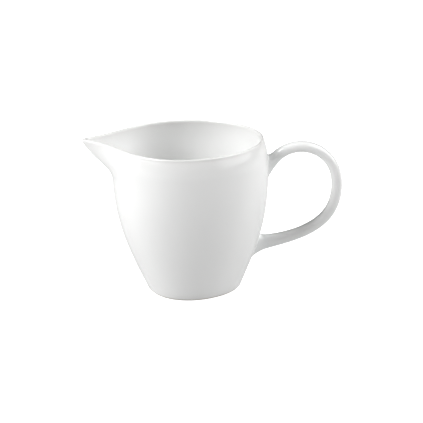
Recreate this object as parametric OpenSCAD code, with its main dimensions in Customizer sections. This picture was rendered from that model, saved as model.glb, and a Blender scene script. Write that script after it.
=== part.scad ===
// A porcelain cream jug: a thin cast bowl with a pulled pouring lip, on a narrow foot that is
// softened to a triangle, with a round loop handle luted on opposite the lip.
// The origin is the foot's centre, on the table. +X runs out to the handle, the lip points
// along -X, and +Z is up. Sizes are in millimetres.

/* [Bowl] */
// Height of the wall's top edge above the table, under the rounded rim
wall_h = 76; // [70:0.5:84]
// Thickness of the wall just below the rim
rim_wall_t = 2.3; // [1.8:0.1:3]
// How much thinner the wall grows at the rim's edge
rim_thinning = 0.8; // [0:0.1:1]
// Thickness of the wall at the foot
foot_wall_t = 3.2; // [2.4:0.1:4]
// Radius of the foot
foot_radius = 23.6; // [21:0.1:26]
// Pull of the profile curve just above the foot
lower_radius = 31.6; // [28:0.1:34]
// Pull of the profile curve at the belly
belly_radius = 42; // [38:0.1:45]
// Pull of the profile curve below the rim
shoulder_radius = 40.6; // [38:0.1:44]
// Radius of the rim before it turns in
rim_radius = 41; // [38:0.1:44]
// How far the rim turns in
rim_turn_in = 1.9; // [0:0.1:3]
// Share of the height at which the rim starts to turn in
rim_turn_start = 0.88; // [0.8:0.01:0.94]
// Height of the rounded edge of the rim
rim_round = 1; // [0.6:0.1:1.2]
// How far the rim's centre leans from the foot's centre towards the lip
bowl_lean = 3.3; // [0:0.1:5]
// How far the rim is raised on the handle's side
handle_side_rise = 1.5; // [0:0.1:3]

/* [Foot] */
// How strongly the foot is softened to a triangle
foot_triangle = 0.034; // [0:0.002:0.05]
// Width of the unglazed standing ring
foot_ring_w = 2.6; // [2:0.1:3.4]
// Height of the unglazed standing ring
foot_ring_h = 0.7; // [0.6:0.1:1.2]
// Width of the rounded edge outside the standing ring
foot_edge = 0.4; // [0.3:0.1:1.2]
// Height of the recess under the floor
recess_h = 2.2; // [1.6:0.1:2.6]
// Height of the bowl's floor inside, above the table
floor_h = 5; // [4.4:0.1:6.5]
// Height of the rounded corner between the floor and the wall inside
floor_corner_h = 11; // [8:0.5:15]

/* [Pouring lip] */
// How far the lip is pulled out past the round of the rim
lip_reach = 17.5; // [14:0.5:20]
// Half of the angle over which the lip dies into the rim
lip_spread = 15.3; // [13:0.1:20]
// Share of the height at which the lip starts to leave the wall
lip_start = 0.8; // [0.76:0.01:0.86]
// Softness of the turn where the lip leaves the wall
lip_softness = 0.03; // [0.02:0.005:0.06]
// Angle of the blunt round at the lip's tip
tip_blunt = 3; // [2:0.5:5]
// Extra thickness of the lip at its tip
tip_extra = 1.8; // [1:0.1:2.5]
// How far the lip's tip is raised
lip_rise = 1.4; // [0:0.1:3]
// How far the bowl is drawn flat on the lip's side, before the lip is pulled
lip_side_flat = 5; // [2:0.5:7]

/* [Handle] */
// Thickness of the handle in the plane of its loop
handle_t = 5.4; // [4.6:0.1:6.2]
// Width of the handle across its loop
handle_w = 7; // [6:0.1:8.5]
// Squareness of the handle's section, where 2 is an ellipse
handle_squareness = 2.3; // [2:0.1:3]
// Extra thickness of the handle at its lower end
lower_end_extra = 4.2; // [0:0.1:5]
// How far the slip runs out sideways on the wall
slip_side = 1.2; // [0.6:0.1:2]

/* [Hidden] */

glaze = [0.95, 0.95, 0.94];
biscuit = [0.87, 0.85, 0.81];

turns = 64;
wall_steps = 20;
inner_steps = 16;
rim_steps = 5;
corner_steps = 8;
edge_steps = 4;
profile = [foot_radius, lower_radius, belly_radius, shoulder_radius, rim_radius];
foot_inner = foot_edge + foot_ring_w;
rim_edge_t = rim_wall_t - rim_thinning;
corner_squareness = 2.4;
rim_rise_power = 6;
foot_fade_power = 1.5;
flat_power = 1.6;
lip_rise_spread = 35;
last_corner_angle = 86;

// The loop's curve, from inside the wall at the top to inside the wall at the bottom.
handle_points = [[36, 55], [44.5, 94], [95.5, 64.5], [65, 51.5], [75.5, 47.5], [82.5, 27], [30.5, 21.5]];
handle_start = 0.075;
handle_end = 0.975;
handle_steps = 52;
handle_sides = 20;
joint_steps = 8;
lower_end_length = 0.03;
// Each slip's run down its outer side and its inner side, and how full its corner is.
slip_overlap = 0.1;
upper_slip = [1, 4, 0.5];
lower_slip = [5, 2.5, 0.35];

// Bernstein curve through the first and last of the points, for numbers or places.
function choose(n, k) = k == 0 ? 1 : choose(n, k - 1) * (n - k + 1) / k;
function curve(points, t) =
    let(n = len(points) - 1)
    [for (k = [0:n]) choose(n, k) * pow(t, k) * pow(1 - t, n - k)] * points;
function unit(v) = v / norm(v);
function soft(c, squareness) = sign(c) * pow(abs(c), 2 / squareness);

// Angles round the bowl, from one side of the lip to the other, closer together at the lip.
function spacing(u) = 180 * (0.4 * u + 0.6 * u * u);
TURNS = [for (i = [0:turns - 1])
    let(u = 2 * i / turns)
    u < 1 ? spacing(u) - 180 : 180 - spacing(2 - u)];

// A place on the wall. turn is the angle from the handle's side, rise the share of the height,
// inset the distance inwards, and draw the share of the radius that is kept.
function rim_share(rise) = pow(max(0, (rise - rim_turn_start) / (1 - rim_turn_start)), 2);
function wall_radius(rise) = curve(profile, rise) - rim_turn_in * rim_share(rise);
function wall_depth(rise) =
    rim_wall_t + (foot_wall_t - rim_wall_t) * (1 - rise) - rim_thinning * rim_share(rise);
function ramp(q) = (q + sqrt(q * q + lip_softness * lip_softness)) / 2;
function lip_growth(rise) = ramp(rise - lip_start) / ramp(1 - lip_start);
function off_lip(turn) = 180 - abs(turn);
function lip_shape(turn) =
    exp((tip_blunt - sqrt(pow(off_lip(turn), 2) + pow(tip_blunt, 2))) / lip_spread);
function lip_pull(turn, rise, inset) =
    (lip_reach - tip_extra * min(1, inset / rim_edge_t)) * lip_growth(rise) * lip_shape(turn);
function flattening(turn, rise) =
    lip_side_flat * pow(rise, flat_power) * pow(max(0, cos(off_lip(turn))), 2);
function rim_rise(turn, rise) =
    let(at_lip = lip_rise * exp(-pow(off_lip(turn) / lip_rise_spread, 2)))
    let(at_handle = handle_side_rise * pow((1 + cos(turn)) / 2, 2))
    pow(rise, rim_rise_power) * (at_lip + at_handle);
function triangle(turn, rise) = 1 + foot_triangle * pow(1 - rise, foot_fade_power) * cos(3 * turn);
function wall_place(turn, rise, inset = 0, draw = 1) =
    let(radius = draw * (wall_radius(rise) - inset) * triangle(turn, rise))
    let(shift = flattening(turn, rise) - lip_pull(turn, rise, inset))
    [
        radius * cos(turn) - bowl_lean * rise + draw * shift,
        radius * sin(turn),
        wall_h * rise + rim_rise(turn, rise)
    ];
function wall_ring(height, inset = 0, draw = 1) =
    [for (turn = TURNS) wall_place(turn, height / wall_h, inset, draw)];
function inner_ring(height, draw = 1) = wall_ring(height, wall_depth(height / wall_h), draw);

// The bowl's rings, in order from under the floor, up the outside, over the rim and down the inside.
function recess_rings() = [for (i = [edge_steps:-1:0])
    let(a = 90 * i / edge_steps)
    [for (p = wall_ring(0, foot_inner))
        let(keep = 0.9 + 0.1 * cos(a))
        [keep * p[0], keep * p[1], foot_ring_h + (recess_h - foot_ring_h) * sin(a)]]];
function edge_rings() = [for (i = [0:edge_steps - 1])
    let(a = 90 * i / edge_steps)
    wall_ring(foot_ring_h + foot_edge * (1 - cos(a)), foot_edge * (1 - sin(a)))];
function outer_rings() =
    let(from = foot_ring_h + foot_edge)
    [for (i = [0:wall_steps]) wall_ring(from + (wall_h - from) * i / wall_steps)];
function rim_rings() = [for (i = [1:rim_steps])
    let(a = 180 * i / (rim_steps + 1), outer = wall_ring(wall_h), inner = wall_ring(wall_h, rim_edge_t))
    [for (j = [0:turns - 1])
        outer[j] * (1 + cos(a)) / 2 + inner[j] * (1 - cos(a)) / 2 + [0, 0, rim_round * sin(a)]]];
function inner_rings() =
    let(to = floor_h + floor_corner_h)
    [for (i = [0:inner_steps]) inner_ring(wall_h - (wall_h - to) * i / inner_steps)];
function corner_rings() = [for (i = [1:corner_steps])
    let(a = last_corner_angle * i / corner_steps)
    let(height = floor_h + floor_corner_h * (1 - soft(sin(a), corner_squareness)))
    inner_ring(height, soft(cos(a), corner_squareness))];

// The handle's loop, in the plane of the lip and the foot's centre.
function loop_place(t) = let(p = curve(handle_points, t)) [p[0], 0, p[1]];
function loop_way(t) =
    let(n = len(handle_points) - 1)
    let(d = unit(curve([for (i = [0:n - 1]) handle_points[i + 1] - handle_points[i]], t)))
    [d[0], 0, d[1]];
function handle_depth(t) = handle_t + lower_end_extra * exp(-(1 - t) / lower_end_length);
function handle_ring(t) =
    let(way = loop_way(t), out = [-way[2], 0, way[0]])
    [for (i = [0:handle_sides - 1])
        let(a = 360 * i / handle_sides)
        loop_place(t)
            + out * handle_depth(t) / 2 * soft(cos(a), handle_squareness)
            - [0, 1, 0] * handle_w / 2 * soft(sin(a), handle_squareness)];

// The slip at one end of the handle: each line of it runs along the handle, turns a soft corner
// and runs out on the wall. slip holds how far it runs out on the loop's outer side, how far on
// its inner side, and how full its corner is, from 0 for a hollow fillet to 1 for a straight one.
function on_wall(y, z, sink) = wall_place(asin(y / wall_radius(z / wall_h)), z / wall_h, sink);
function slide(p, way, steps) =
    steps == 0 ? p : slide(p + way * (on_wall(p[1], p[2], 0)[0] - p[0]) / way[0], way, steps - 1);
function slip_line(p, way, a, slip) =
    let(corner = slide(p, way, 8))
    let(run = sign(way[0]) * cos(a) * (cos(a) > 0 ? slip[0] : slip[1]))
    let(foot = on_wall(corner[1] - slip_side * sin(a), corner[2] + run, slip_overlap))
    [foot, corner + slip[2] * ((foot + p) / 2 - corner), p];
function slip_rings(t, slip, order) =
    let(ring = handle_ring(t), way = loop_way(t))
    let(lines = [for (i = [0:handle_sides - 1]) slip_line(ring[i], way, 360 * i / handle_sides, slip)])
    [for (s = order) [for (line = lines) curve(line, s / joint_steps)]];

// One closed skin through rings of places, with a fan to the middle of the first and last ring.
function middle(ring) = [for (i = [0:len(ring) - 1]) 1] * ring / len(ring);
module skin(rings) {
    n = len(rings[0]);
    last = len(rings) - 1;
    start = n * len(rings);
    end = start + 1;
    polyhedron(
        points = concat([for (ring = rings) each ring], [middle(rings[0]), middle(rings[last])]),
        faces = concat(
            [for (i = [0:last - 1], j = [0:n - 1])
                let(a = i * n + j, b = i * n + (j + 1) % n)
                each [[a, a + n, b + n], [a, b + n, b]]],
            [for (j = [0:n - 1]) [start, j, (j + 1) % n]],
            [for (j = [0:n - 1]) [end, last * n + (j + 1) % n, last * n + j]]
        )
    );
}

module body() {
    color(glaze)
    skin(concat(recess_rings(), edge_rings(), outer_rings(), rim_rings(), inner_rings(), corner_rings()));
}

module foot_ring() {
    color(biscuit)
    linear_extrude(height = foot_ring_h)
    difference() {
        polygon([for (p = wall_ring(0, foot_edge)) [p[0], p[1]]]);
        polygon([for (p = wall_ring(0, foot_inner)) [p[0], p[1]]]);
    }
}

module handle() {
    length = handle_end - handle_start;
    color(glaze)
    skin([for (i = [0:handle_steps]) handle_ring(handle_start + length * i / handle_steps)]);
}

module upper_handle_joint() {
    color(glaze)
    skin(slip_rings(handle_start, upper_slip, [0:joint_steps]));
}

module lower_handle_joint() {
    color(glaze)
    skin(slip_rings(handle_end, lower_slip, [joint_steps:-1:0]));
}

body();
foot_ring();
handle();
upper_handle_joint();
lower_handle_joint();
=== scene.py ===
import math

import bpy
import numpy as np
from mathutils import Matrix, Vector


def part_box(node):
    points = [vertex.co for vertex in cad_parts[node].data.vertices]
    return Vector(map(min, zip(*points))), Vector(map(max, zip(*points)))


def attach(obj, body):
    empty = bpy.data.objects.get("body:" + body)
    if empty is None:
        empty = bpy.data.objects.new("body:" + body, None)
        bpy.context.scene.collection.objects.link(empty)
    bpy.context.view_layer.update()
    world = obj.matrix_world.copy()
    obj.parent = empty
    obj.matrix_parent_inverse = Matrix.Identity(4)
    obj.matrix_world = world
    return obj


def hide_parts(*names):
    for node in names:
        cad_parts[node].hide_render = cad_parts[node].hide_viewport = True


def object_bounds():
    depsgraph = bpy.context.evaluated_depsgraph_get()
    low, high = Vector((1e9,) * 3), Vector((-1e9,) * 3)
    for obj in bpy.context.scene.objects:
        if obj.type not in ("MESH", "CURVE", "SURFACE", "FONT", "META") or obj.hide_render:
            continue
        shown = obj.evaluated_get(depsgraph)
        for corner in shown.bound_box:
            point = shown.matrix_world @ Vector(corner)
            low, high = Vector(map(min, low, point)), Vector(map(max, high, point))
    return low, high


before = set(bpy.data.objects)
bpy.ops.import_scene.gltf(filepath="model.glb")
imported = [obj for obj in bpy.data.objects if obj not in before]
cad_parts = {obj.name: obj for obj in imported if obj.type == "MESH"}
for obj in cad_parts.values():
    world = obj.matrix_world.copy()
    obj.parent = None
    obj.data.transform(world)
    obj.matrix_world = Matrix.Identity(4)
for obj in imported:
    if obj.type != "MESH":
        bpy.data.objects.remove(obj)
cad_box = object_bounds()
mm = 0.001

# ---------------------------------------------------------------- camera
# A long lens looks a little down on the jug from the front, slightly round to the lip's side,
# and is aimed at the middle of the whole jug.
view_azimuth = math.radians(-4.0)
view_elevation = math.radians(18.0)
view_distance = 0.70
view_lens = 117.4
aim_shift = Vector((-0.9, 0.0, -0.2)) * mm
aim = Vector([(low + high) / 2 for low, high in zip(*cad_box)]) + aim_shift
away = Vector((
    math.sin(view_azimuth) * math.cos(view_elevation),
    -math.cos(view_azimuth) * math.cos(view_elevation),
    math.sin(view_elevation),
))
camera = bpy.data.objects.new("camera", bpy.data.cameras.new("camera"))
camera.data.lens = view_lens
camera.data.sensor_width = 36.0
camera.location = aim + away * view_distance
camera.rotation_euler = away.to_track_quat("Z", "Y").to_euler()
bpy.context.collection.objects.link(camera)
bpy.context.scene.camera = camera


# ---------------------------------------------------------------- bowl with its pouring lip
# The jug's body is a thin slip casting with a pulled pouring lip, glazed inside and out.
# It is one closed skin: under the floor, up the outside, over the rim and down the inside.
body_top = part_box("body")[1][2]
rim_round = 1.0 * mm
handle_side_rise = 1.5 * mm
wall_height = body_top - rim_round - handle_side_rise
wall_profile = np.array([23.6, 31.6, 42.0, 40.6, 41.0]) * mm
rim_turn_in = 1.9 * mm
rim_turn_start = 0.88
rim_wall = 2.3 * mm
rim_thinning = 0.8 * mm
foot_wall = 3.2 * mm
bowl_lean = 3.3 * mm
foot_triangle = 0.034
foot_triangle_fade = 1.5
lip_reach = 17.5 * mm
lip_spread = math.radians(15.3)
lip_start = 0.8
lip_softness = 0.03
lip_rise = 1.4 * mm
lip_rise_spread = math.radians(35)
rim_rise_power = 6
tip_blunt = math.radians(3.0)
tip_extra = 1.8 * mm
lip_side_flat = 5.0 * mm
lip_side_flat_power = 1.6
foot_edge = 0.4 * mm
foot_ring_height = 0.7 * mm
foot_ring_width = 2.6 * mm
recess_height = 2.2 * mm
floor_height = 5.0 * mm
floor_corner = 11.0 * mm
floor_corner_squareness = 2.4
floor_corner_end = math.radians(88)
bowl_sides = 256
even_glaze = 0.5


def curve(points, t):
    """Bernstein curve: each point weighted by choose(n, k) t^k (1 - t)^(n - k)."""
    points = np.asarray(points, float)
    t = np.asarray(t, float)[..., None]
    k = np.arange(len(points))
    n = len(points) - 1
    choose = np.array([math.comb(n, i) for i in k])
    return (choose * t**k * (1 - t) ** (n - k)) @ points


def soft(c, squareness):
    """A cosine or sine raised to 2 / squareness, keeping its sign, for a squarer circle."""
    return np.sign(c) * np.abs(c) ** (2 / squareness)


def rim_share(rise):
    """The square of the way from where the rim's turn starts to the rim."""
    return np.clip((rise - rim_turn_start) / (1 - rim_turn_start), 0, None) ** 2


def wall_radius(rise):
    """Profile curve at a share of the height, less the turn-in near the rim."""
    return curve(wall_profile, rise) - rim_turn_in * rim_share(rise)


def wall_depth(rise):
    """Wall thickness, straight from the foot to the rim, less the thinning near its edge."""
    return rim_wall + (foot_wall - rim_wall) * (1 - rise) - rim_thinning * rim_share(rise)


def wall_place(turn, rise, inset=0.0, keep=1.0):
    """Place on the wall at an angle from the handle's side and a share of the height.

    A circle of the wall's radius, softened to a triangle at the foot, leans towards the lip as
    it rises. The lip adds reach * ramp(rise) * exp(-angle off the lip / spread), where the ramp
    is a straight line with a soft start, and cos^2 of the angle flattens the lip's side first.
    """
    turn, rise, inset, keep = np.broadcast_arrays(turn, rise, inset, keep)
    off_lip = np.pi - np.abs(turn)
    triangle = 1 + foot_triangle * (1 - rise).clip(0) ** foot_triangle_fade * np.cos(3 * turn)
    radius = keep * (wall_radius(rise) - inset) * triangle

    def ramp(q):
        return (q + np.sqrt(q * q + lip_softness**2)) / 2

    growth = ramp(rise - lip_start) / ramp(1 - lip_start)
    reach = lip_reach - tip_extra * np.minimum(1, inset / (rim_wall - rim_thinning))
    pull = reach * growth * np.exp(-(np.hypot(off_lip, tip_blunt) - tip_blunt) / lip_spread)
    flat = lip_side_flat * rise**lip_side_flat_power * np.cos(off_lip).clip(0) ** 2
    lift = lip_rise * np.exp(-((off_lip / lip_rise_spread) ** 2))
    lift = lift + handle_side_rise * ((1 + np.cos(turn)) / 2) ** 2
    return np.stack([
        radius * np.cos(turn) - bowl_lean * rise + keep * (flat - pull),
        radius * np.sin(turn),
        wall_height * rise + lift * rise**rim_rise_power,
    ], axis=-1)


def angles_round(count):
    """Angles from one side of the lip to the other: 0.4 u + 0.6 u^2 of the half turn."""
    u = 2 * np.arange(count) / count
    near = np.minimum(u, 2 - u)
    step = np.pi * (0.4 * near + 0.6 * near**2)
    return np.where(u < 1, step - np.pi, np.pi - step)


def skin(name, rings, material, thickness):
    """One closed mesh through rings of places, with a fan to the middle of each end ring.

    The thickness of the glaze is one number for each ring, and its own mesh attribute.
    """
    count, sides = rings.shape[:2]
    places = np.concatenate([rings.reshape(-1, 3), rings[:1].mean(axis=1), rings[-1:].mean(axis=1)])
    row, side = np.meshgrid(np.arange(count - 1), np.arange(sides), indexing="ij")
    here = (row * sides + side).ravel()
    beside = (row * sides + (side + 1) % sides).ravel()
    quads = np.stack([here, beside, beside + sides, here + sides], axis=-1)
    one = np.arange(sides)
    following = (one + 1) % sides
    last = (count - 1) * sides
    first_fan = np.stack([np.full(sides, count * sides), following, one], axis=-1)
    last_fan = np.stack([np.full(sides, count * sides + 1), last + one, last + following], axis=-1)
    mesh = bpy.data.meshes.new(name)
    mesh.from_pydata(places.tolist(), [], quads.tolist() + first_fan.tolist() + last_fan.tolist())
    mesh.shade_smooth()
    mesh.materials.append(material)
    layer = mesh.attributes.new("glaze_thickness", "FLOAT", "POINT")
    each = np.concatenate([np.repeat(thickness, sides), thickness[:1], thickness[-1:]])
    layer.data.foreach_set("value", each.astype(np.float32))
    piece = bpy.data.objects.new(name, mesh)
    bpy.context.collection.objects.link(piece)
    return piece


def node(tree, kind, inputs=None, **settings):
    """A node with its settings, and its inputs given as plain values or as sockets to link."""
    made = tree.nodes.new(kind)
    for name, value in settings.items():
        setattr(made, name, value)
    for name, value in (inputs or {}).items():
        if isinstance(value, bpy.types.NodeSocket):
            tree.links.new(value, made.inputs[name])
        else:
            made.inputs[name].default_value = value
    return made


def group(name, inputs, outputs):
    """A node group with the named sockets: the group, what it is given and what it puts out."""
    tree = bpy.data.node_groups.new(name, "ShaderNodeTree")
    for socket, kind in inputs.items():
        tree.interface.new_socket(socket, in_out="INPUT", socket_type="NodeSocket" + kind)
    for socket, kind in outputs.items():
        tree.interface.new_socket(socket, in_out="OUTPUT", socket_type="NodeSocket" + kind)
    return tree, tree.nodes.new("NodeGroupInput").outputs, tree.nodes.new("NodeGroupOutput").inputs


# Fired clay's colour: faint broad patches, and rare fine specks of iron.
tree, given, wanted = group(
    "clay_tone",
    {"Color": "Color", "Patches": "Float", "Specks": "Float"},
    {"Color": "Color", "Patch": "Float"},
)
where = node(tree, "ShaderNodeTexCoord").outputs["Object"]
patch = node(tree, "ShaderNodeTexNoise", {"Vector": where, "Scale": 38.0, "Detail": 3.0})
shade = node(
    tree, "ShaderNodeMath", {0: patch.outputs["Fac"], 1: given["Patches"]}, operation="MULTIPLY"
)
kept = node(tree, "ShaderNodeMath", {0: 1.0, 1: shade.outputs[0]}, operation="SUBTRACT")
toned = node(
    tree, "ShaderNodeVectorMath", {0: given["Color"], "Scale": kept.outputs[0]}, operation="SCALE"
)
fine = node(tree, "ShaderNodeTexNoise", {"Vector": where, "Scale": 900.0, "Detail": 1.0})
speck = node(
    tree,
    "ShaderNodeMapRange",
    {"Value": fine.outputs["Fac"], "From Min": 0.74, "From Max": 0.82, "To Max": given["Specks"]},
)
spotted = node(
    tree,
    "ShaderNodeMix",
    {0: speck.outputs["Result"], 6: toned.outputs["Vector"], 7: (0.36, 0.30, 0.23, 1)},
    data_type="RGBA",
)
tree.links.new(spotted.outputs[2], wanted["Color"])
tree.links.new(patch.outputs["Fac"], wanted["Patch"])

# The surface's height: slow waves left by casting and sponging, and a finer grain over them.
tree, given, wanted = group(
    "clay_relief",
    {"Waves": "Float", "Grain": "Float", "Grain Scale": "Float"},
    {"Height": "Float", "Grain": "Float"},
)
where = node(tree, "ShaderNodeTexCoord").outputs["Object"]
wave = node(
    tree, "ShaderNodeTexNoise", {"Vector": where, "Scale": 26.0, "Detail": 1.0, "Roughness": 0.3}
)
grain = node(
    tree, "ShaderNodeTexNoise", {"Vector": where, "Scale": given["Grain Scale"], "Detail": 2.0}
)
waves = node(
    tree, "ShaderNodeMath", {0: wave.outputs["Fac"], 1: given["Waves"]}, operation="MULTIPLY"
)
grains = node(
    tree, "ShaderNodeMath", {0: grain.outputs["Fac"], 1: given["Grain"]}, operation="MULTIPLY"
)
height = node(tree, "ShaderNodeMath", {0: waves.outputs[0], 1: grains.outputs[0]}, operation="ADD")
tree.links.new(height.outputs[0], wanted["Height"])
tree.links.new(grain.outputs["Fac"], wanted["Grain"])

# Clear glaze over white clay. Each mesh carries how thick its glaze lies, from 0 where it has
# run thin over an edge, through 0.5, to 1 where it has pooled in a corner.
glazed = bpy.data.materials.new("glazed_porcelain")
glazed.use_nodes = True
tree = glazed.node_tree
shader = tree.nodes["Principled BSDF"]
shader.inputs["IOR"].default_value = 1.5
shader.inputs["Coat Weight"].default_value = 0.3
shader.inputs["Coat Roughness"].default_value = 0.2
thickness = node(tree, "ShaderNodeAttribute", attribute_name="glaze_thickness").outputs["Fac"]
glaze_colour = node(tree, "ShaderNodeValToRGB", {"Fac": thickness})
ramp = glaze_colour.color_ramp
ramp.elements[0].color = (0.800, 0.796, 0.785, 1)
ramp.elements[1].color = (0.835, 0.850, 0.848, 1)
middle_stop = ramp.elements.new(0.5)
middle_stop.color = (0.872, 0.874, 0.868, 1)
tone = node(tree, "ShaderNodeGroup", node_tree=bpy.data.node_groups["clay_tone"])
tone.inputs["Patches"].default_value = 0.025
tone.inputs["Specks"].default_value = 0.05
tree.links.new(glaze_colour.outputs["Color"], tone.inputs["Color"])
tree.links.new(tone.outputs["Color"], shader.inputs["Base Color"])
relief = node(tree, "ShaderNodeGroup", node_tree=bpy.data.node_groups["clay_relief"])
relief.inputs["Waves"].default_value = 1.0
relief.inputs["Grain"].default_value = 0.035
relief.inputs["Grain Scale"].default_value = 420.0
bump = node(
    tree,
    "ShaderNodeBump",
    {"Height": relief.outputs["Height"], "Strength": 1.0, "Distance": 0.1 * mm},
)
tree.links.new(bump.outputs["Normal"], shader.inputs["Normal"])
gloss = node(
    tree,
    "ShaderNodeMapRange",
    {"Value": tone.outputs["Patch"], "From Min": 0.3, "From Max": 0.7, "To Min": 0.13, "To Max": 0.18},
)
dry = node(
    tree,
    "ShaderNodeMapRange",
    {"Value": thickness, "From Min": 0.0, "From Max": 0.4, "To Min": 0.10, "To Max": 0.0},
)
roughness = node(
    tree, "ShaderNodeMath", {0: gloss.outputs["Result"], 1: dry.outputs["Result"]}, operation="ADD"
)
tree.links.new(roughness.outputs[0], shader.inputs["Roughness"])

turn = angles_round(bowl_sides)


def bowl_rings():
    """The skin's rings in order, and how thick the glaze lies on each.

    A quarter ellipse domes up under the floor, a quarter circle rounds the foot's edge, and the
    profile goes up the outside. Half an ellipse goes over the rim, the profile less the wall's
    depth goes down the inside, and a squared quarter ellipse turns from the wall to the floor.
    """
    foot_inner = foot_edge + foot_ring_width
    arc = np.linspace(np.pi / 2, 0, 12)[:, None]
    under = wall_place(turn, 0.0, foot_inner)[None] * (0.9 + 0.1 * np.cos(arc))[..., None]
    under[..., 2] = foot_ring_height + (recess_height - foot_ring_height) * np.sin(arc)
    arc = np.linspace(0, np.pi / 2, 12)[:, None]
    edge_height = foot_ring_height + foot_edge * (1 - np.cos(arc))
    edge = wall_place(turn, edge_height / wall_height, foot_edge * (1 - np.sin(arc)))
    start = (foot_ring_height + foot_edge) / wall_height
    up = np.linspace(start, 1, 130)[1:]
    outside = wall_place(turn, up[:, None])
    arc = np.linspace(0, np.pi, 18)[1:-1, None, None]
    inner_rim = wall_place(turn, 1.0, wall_depth(1.0))
    rim = outside[-1] * (1 + np.cos(arc)) / 2 + inner_rim * (1 - np.cos(arc)) / 2
    rim[..., 2] += rim_round * np.sin(arc)[..., 0]
    corner_top = floor_height + floor_corner
    down = np.linspace(wall_height, corner_top, 90)[:, None] / wall_height
    inside = wall_place(turn, down, wall_depth(down))
    arc = np.linspace(0, floor_corner_end, 36)[1:, None]
    corner_drop = floor_corner * (1 - soft(np.sin(arc), floor_corner_squareness))
    rise = (floor_height + corner_drop) / wall_height
    corner = wall_place(turn, rise, wall_depth(rise), soft(np.cos(arc), floor_corner_squareness))
    thickness = np.concatenate([
        np.full(len(under), even_glaze),
        np.full(len(edge), 0.1),
        even_glaze - 0.45 * np.exp(-(1 - up) / 0.03) - 0.40 * np.exp(-(up - start) / 0.02),
        np.full(len(rim), 0.05),
        even_glaze - 0.45 * np.exp(-(1 - down[:, 0]) / 0.03),
        even_glaze + 0.5 * np.sin(arc[:, 0] * 2).clip(0),
    ])
    return np.concatenate([under, edge, outside, rim, inside, corner]), thickness


bowl_skin, bowl_glaze = bowl_rings()
bowl = skin("bowl", bowl_skin, glazed, bowl_glaze)
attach(bowl, "root")
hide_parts("body")


# ---------------------------------------------------------------- standing ring
# The ring that the jug stands on is wiped clean of glaze before firing, so it is bare porcelain.
# It is cast with the floor, and its lower edges are sponged round.
ring_round = 0.3 * mm

biscuit = bpy.data.materials.new("unglazed_porcelain")
biscuit.use_nodes = True
tree = biscuit.node_tree
shader = tree.nodes["Principled BSDF"]
shader.inputs["Specular IOR Level"].default_value = 0.3
tone = node(tree, "ShaderNodeGroup", node_tree=bpy.data.node_groups["clay_tone"])
tone.inputs["Color"].default_value = (0.71, 0.68, 0.62, 1)
tone.inputs["Patches"].default_value = 0.15
tone.inputs["Specks"].default_value = 0.8
tree.links.new(tone.outputs["Color"], shader.inputs["Base Color"])
relief = node(tree, "ShaderNodeGroup", node_tree=bpy.data.node_groups["clay_relief"])
relief.inputs["Waves"].default_value = 0.3
relief.inputs["Grain"].default_value = 1.0
relief.inputs["Grain Scale"].default_value = 3200.0
bump = node(
    tree,
    "ShaderNodeBump",
    {"Height": relief.outputs["Height"], "Strength": 1.0, "Distance": 0.03 * mm},
)
tree.links.new(bump.outputs["Normal"], shader.inputs["Normal"])
rough = node(
    tree, "ShaderNodeMapRange", {"Value": relief.outputs["Grain"], "To Min": 0.55, "To Max": 0.8}
)
tree.links.new(rough.outputs["Result"], shader.inputs["Roughness"])


def closed_band(name, rings, material):
    """One closed mesh through rings of places, where the last ring also joins the first."""
    count, sides = rings.shape[:2]
    row, side = np.meshgrid(np.arange(count), np.arange(sides), indexing="ij")
    below, beside = (row + 1) % count, (side + 1) % sides
    corners = [row * sides + side, row * sides + beside, below * sides + beside, below * sides + side]
    mesh = bpy.data.meshes.new(name)
    mesh.from_pydata(rings.reshape(-1, 3).tolist(), [], np.stack(corners, -1).reshape(-1, 4).tolist())
    mesh.shade_smooth()
    mesh.materials.append(material)
    piece = bpy.data.objects.new(name, mesh)
    bpy.context.collection.objects.link(piece)
    return piece


def standing_ring_rings():
    """Round the ring's section from its hidden top: the inside, the foot with its arcs, the outside."""
    inner, outer = foot_edge + foot_ring_width, foot_edge
    arc = np.linspace(0, np.pi / 2, 9)
    wall = np.linspace(foot_ring_height, ring_round, 4)[:-1]
    base = np.linspace(inner - ring_round, outer + ring_round, 8)[1:-1]
    inset = np.concatenate([
        np.full(3, inner), inner - ring_round * (1 - np.cos(arc)), base,
        outer + ring_round * (1 - np.sin(arc)), np.full(3, outer),
    ])
    height = np.concatenate([
        wall, ring_round * (1 - np.sin(arc)), 0 * base, ring_round * (1 - np.cos(arc)), wall[::-1],
    ])
    places = wall_place(turn, 0.0, inset[:, None])
    places[..., 2] = height[:, None]
    return places


standing_ring = closed_band("standing_ring", standing_ring_rings(), biscuit)
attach(standing_ring, "root")
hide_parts("foot_ring")


# ---------------------------------------------------------------- handle
# The handle is a round loop of a softly squared oval section, cast on its own.
# It thickens a little towards its lower end, where it is luted to the wall.
loop_outwards = np.array([36.0, 44.5, 95.5, 65.0, 75.5, 82.5, 30.5]) * mm
loop_upwards = np.array([55.0, 94.0, 64.5, 51.5, 47.5, 27.0, 21.5]) * mm
loop_points = np.stack([loop_outwards, loop_upwards], axis=-1)
handle_start = 0.075
handle_end = 0.975
handle_depth = 5.4 * mm
handle_width = 7.0 * mm
handle_squareness = 2.3
lower_end_extra = 4.2 * mm
lower_end_length = 0.03
handle_sides = 96
handle_angles = np.arange(handle_sides) * 2 * np.pi / handle_sides


def loop_place(t):
    """Bernstein curve of the loop's points, in the plane through the lip."""
    flat = curve(loop_points, t)
    return np.stack([flat[..., 0], 0 * flat[..., 0], flat[..., 1]], axis=-1)


def loop_way(t):
    """Direction of the loop: the Bernstein curve of the steps between its points, at length 1."""
    flat = curve(np.diff(loop_points, axis=0), t)
    way = np.stack([flat[..., 0], 0 * flat[..., 0], flat[..., 1]], axis=-1)
    return way / np.linalg.norm(way, axis=-1, keepdims=True)


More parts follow.
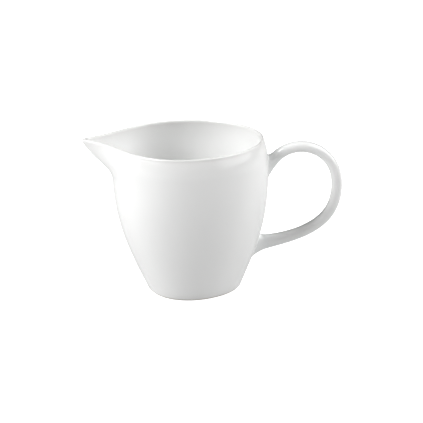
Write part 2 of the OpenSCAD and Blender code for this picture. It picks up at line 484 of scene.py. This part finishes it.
def handle_ring(t):
    """Section across the loop: a soft cosine outwards and a soft sine across, at each angle."""
    t = np.atleast_1d(t)
    way = loop_way(t)
    out = np.stack([-way[:, 2], way[:, 1], way[:, 0]], axis=-1)
    depth = handle_depth + lower_end_extra * np.exp(-(1 - t) / lower_end_length)
    outwards = depth[:, None] / 2 * soft(np.cos(handle_angles), handle_squareness)
    across = handle_width / 2 * soft(np.sin(handle_angles), handle_squareness)
    return (
        loop_place(t)[:, None]
        + out[:, None] * outwards[..., None]
        - np.array([0.0, 1.0, 0.0]) * across[:, None]
    )


crowded = (1 - np.cos(np.linspace(0, np.pi, 260))) / 2
handle_t = handle_start + (handle_end - handle_start) * crowded
handle_glaze = even_glaze + 0.35 * (np.exp(-crowded / 0.03) + np.exp(-(1 - crowded) / 0.03))
handle = skin("handle_loop", handle_ring(handle_t), glazed, handle_glaze)
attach(handle, "root")
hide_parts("handle")


# ---------------------------------------------------------------- handle joints
# Each root of the handle is luted to the wall with slip, which is wiped to a small fillet that
# runs further down the wall than up it. Its two runs are on the loop's outer and inner side.
slip_side = 1.2 * mm
slip_overlap = 0.1 * mm
slip_runs = {"upper": (1.0 * mm, 4.0 * mm), "lower": (5.0 * mm, 2.5 * mm)}
slip_fullness = {"upper": 0.5, "lower": 0.35}
slip_glaze = 0.85
slip_steps = 60


def on_wall(y, z, sink):
    """Place on the wall at a distance to the side and a height, sunk in a little."""
    rise = z / wall_height
    return wall_place(np.arcsin(y / wall_radius(rise)), rise, sink)


def slip_rings(t, runs, fullness):
    """Quadratic curves from the wall to the handle, bent by the corner between the two.

    Each corner starts on the handle's last section, and slides along the handle's own line in
    steps that shrink with the gap that is left, until it lies on the wall.
    """
    ring = handle_ring(t)[0]
    way = loop_way(t)
    corner = ring.copy()
    for _ in range(8):
        gap = on_wall(corner[:, 1], corner[:, 2], 0.0)[:, 0] - corner[:, 0]
        corner = corner + way * (gap / way[0])[:, None]
    out = np.cos(handle_angles)
    run = np.sign(way[0]) * np.where(out > 0, runs[0], runs[1]) * out
    foot = on_wall(corner[:, 1] - slip_side * np.sin(handle_angles), corner[:, 2] + run, slip_overlap)
    corner = corner + fullness * ((foot + ring) / 2 - corner)
    share = (1 - np.cos(np.linspace(0, np.pi, slip_steps)))[:, None, None] / 2
    return foot * (1 - share) ** 2 + corner * 2 * share * (1 - share) + ring * share**2


for end, t in (("upper", handle_start), ("lower", handle_end)):
    rings = slip_rings(t, slip_runs[end], slip_fullness[end])
    rings = rings if end == "upper" else rings[::-1]
    slip = skin(end + "_slip_fillet", rings, glazed, np.full(len(rings), slip_glaze))
    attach(slip, "root")
    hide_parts(end + "_handle_joint")


# ---------------------------------------------------------------- studio
# A white sweep that looks evenly bright from the camera but throws little light back, and large
# soft panels: three keys from the lip's side, and two broad fills from the handle's side.
floor_glow = 0.375
sweep_half = 6.0
panel_distance = 1.6
sweep = bpy.data.materials.new("studio_sweep")
sweep.use_nodes = True
tree = sweep.node_tree
shader = tree.nodes["Principled BSDF"]
shader.inputs["Specular IOR Level"].default_value = 0.0
shader.inputs["Emission Color"].default_value = (1, 1, 1, 1)
shader.inputs["Emission Strength"].default_value = floor_glow
tone = node(tree, "ShaderNodeGroup", node_tree=bpy.data.node_groups["clay_tone"])
tone.inputs["Color"].default_value = (0.3, 0.3, 0.3, 1)
tone.inputs["Patches"].default_value = 0.02
tone.inputs["Specks"].default_value = 0.0
tree.links.new(tone.outputs["Color"], shader.inputs["Base Color"])
relief = node(tree, "ShaderNodeGroup", node_tree=bpy.data.node_groups["clay_relief"])
relief.inputs["Waves"].default_value = 0.1
relief.inputs["Grain"].default_value = 1.0
relief.inputs["Grain Scale"].default_value = 1500.0
bump = node(
    tree,
    "ShaderNodeBump",
    {"Height": relief.outputs["Height"], "Strength": 0.3, "Distance": 0.02 * mm},
)
tree.links.new(bump.outputs["Normal"], shader.inputs["Normal"])
rough = node(
    tree, "ShaderNodeMapRange", {"Value": relief.outputs["Grain"], "To Min": 0.85, "To Max": 0.95}
)
tree.links.new(rough.outputs["Result"], shader.inputs["Roughness"])
lit = node(tree, "ShaderNodeBsdfDiffuse", {"Color": (0.8, 0.8, 0.8, 1)})
where = node(tree, "ShaderNodeTexCoord").outputs["Object"]
reach = node(tree, "ShaderNodeVectorMath", {0: where}, operation="LENGTH")
glow = node(tree, "ShaderNodeMapRange", {"Value": reach.outputs["Value"]})
glow.inputs["From Min"].default_value = 0.15
glow.inputs["From Max"].default_value = 0.6
glow.inputs["To Min"].default_value = 0.86
glow.inputs["To Max"].default_value = 1.02
white = node(tree, "ShaderNodeEmission", {"Color": glow.outputs["Result"]})
seen = node(tree, "ShaderNodeAddShader", {0: lit.outputs[0], 1: white.outputs[0]})
to_camera = node(tree, "ShaderNodeLightPath").outputs["Is Camera Ray"]
both = node(tree, "ShaderNodeMixShader", {0: to_camera, 1: shader.outputs[0], 2: seen.outputs[0]})
tree.links.new(both.outputs[0], tree.nodes["Material Output"].inputs["Surface"])
floor_mesh = bpy.data.meshes.new("studio_floor")
floor_corners = [(x * sweep_half, y * sweep_half, 0) for x, y in ((-1, -1), (1, -1), (1, 1), (-1, 1))]
floor_mesh.from_pydata(floor_corners, [], [(0, 1, 2, 3)])
floor_mesh.materials.append(sweep)
floor = bpy.data.objects.new("studio_floor", floor_mesh)
bpy.context.collection.objects.link(floor)


def panel(name, azimuth, elevation, size, power):
    """A square soft light, turned to the jug from an azimuth off the front and an elevation."""
    azimuth, elevation = math.radians(azimuth), math.radians(elevation)
    level = math.cos(elevation)
    way = Vector((math.sin(azimuth) * level, -math.cos(azimuth) * level, math.sin(elevation)))
    light = bpy.data.lights.new(name, "AREA")
    light.shape = "SQUARE"
    light.size = size
    light.energy = power
    holder = bpy.data.objects.new(name, light)
    holder.location = Vector((0, 0, 40 * mm)) + way * panel_distance
    holder.rotation_euler = way.to_track_quat("Z", "Y").to_euler()
    bpy.context.collection.objects.link(holder)


panel("key", -63, 33, 0.7, 17.2)
panel("side_key", -91, 16, 0.7, 6.5)
panel("high_key", -95, 54, 0.6, 8.8)
panel("fill", 74, 34, 1.7, 18.2)
panel("side_fill", 104, 37, 1.5, 13.8)
world = bpy.context.scene.world or bpy.data.worlds.new("studio")
bpy.context.scene.world = world
world.use_nodes = True
tree = world.node_tree
background = tree.nodes["Background"]
background.inputs["Color"].default_value = (1, 1, 1, 1)
to_camera = node(tree, "ShaderNodeLightPath").outputs["Is Camera Ray"]
tree.links.new(to_camera, background.inputs["Strength"])
bpy.context.scene.view_settings.view_transform = "Standard"
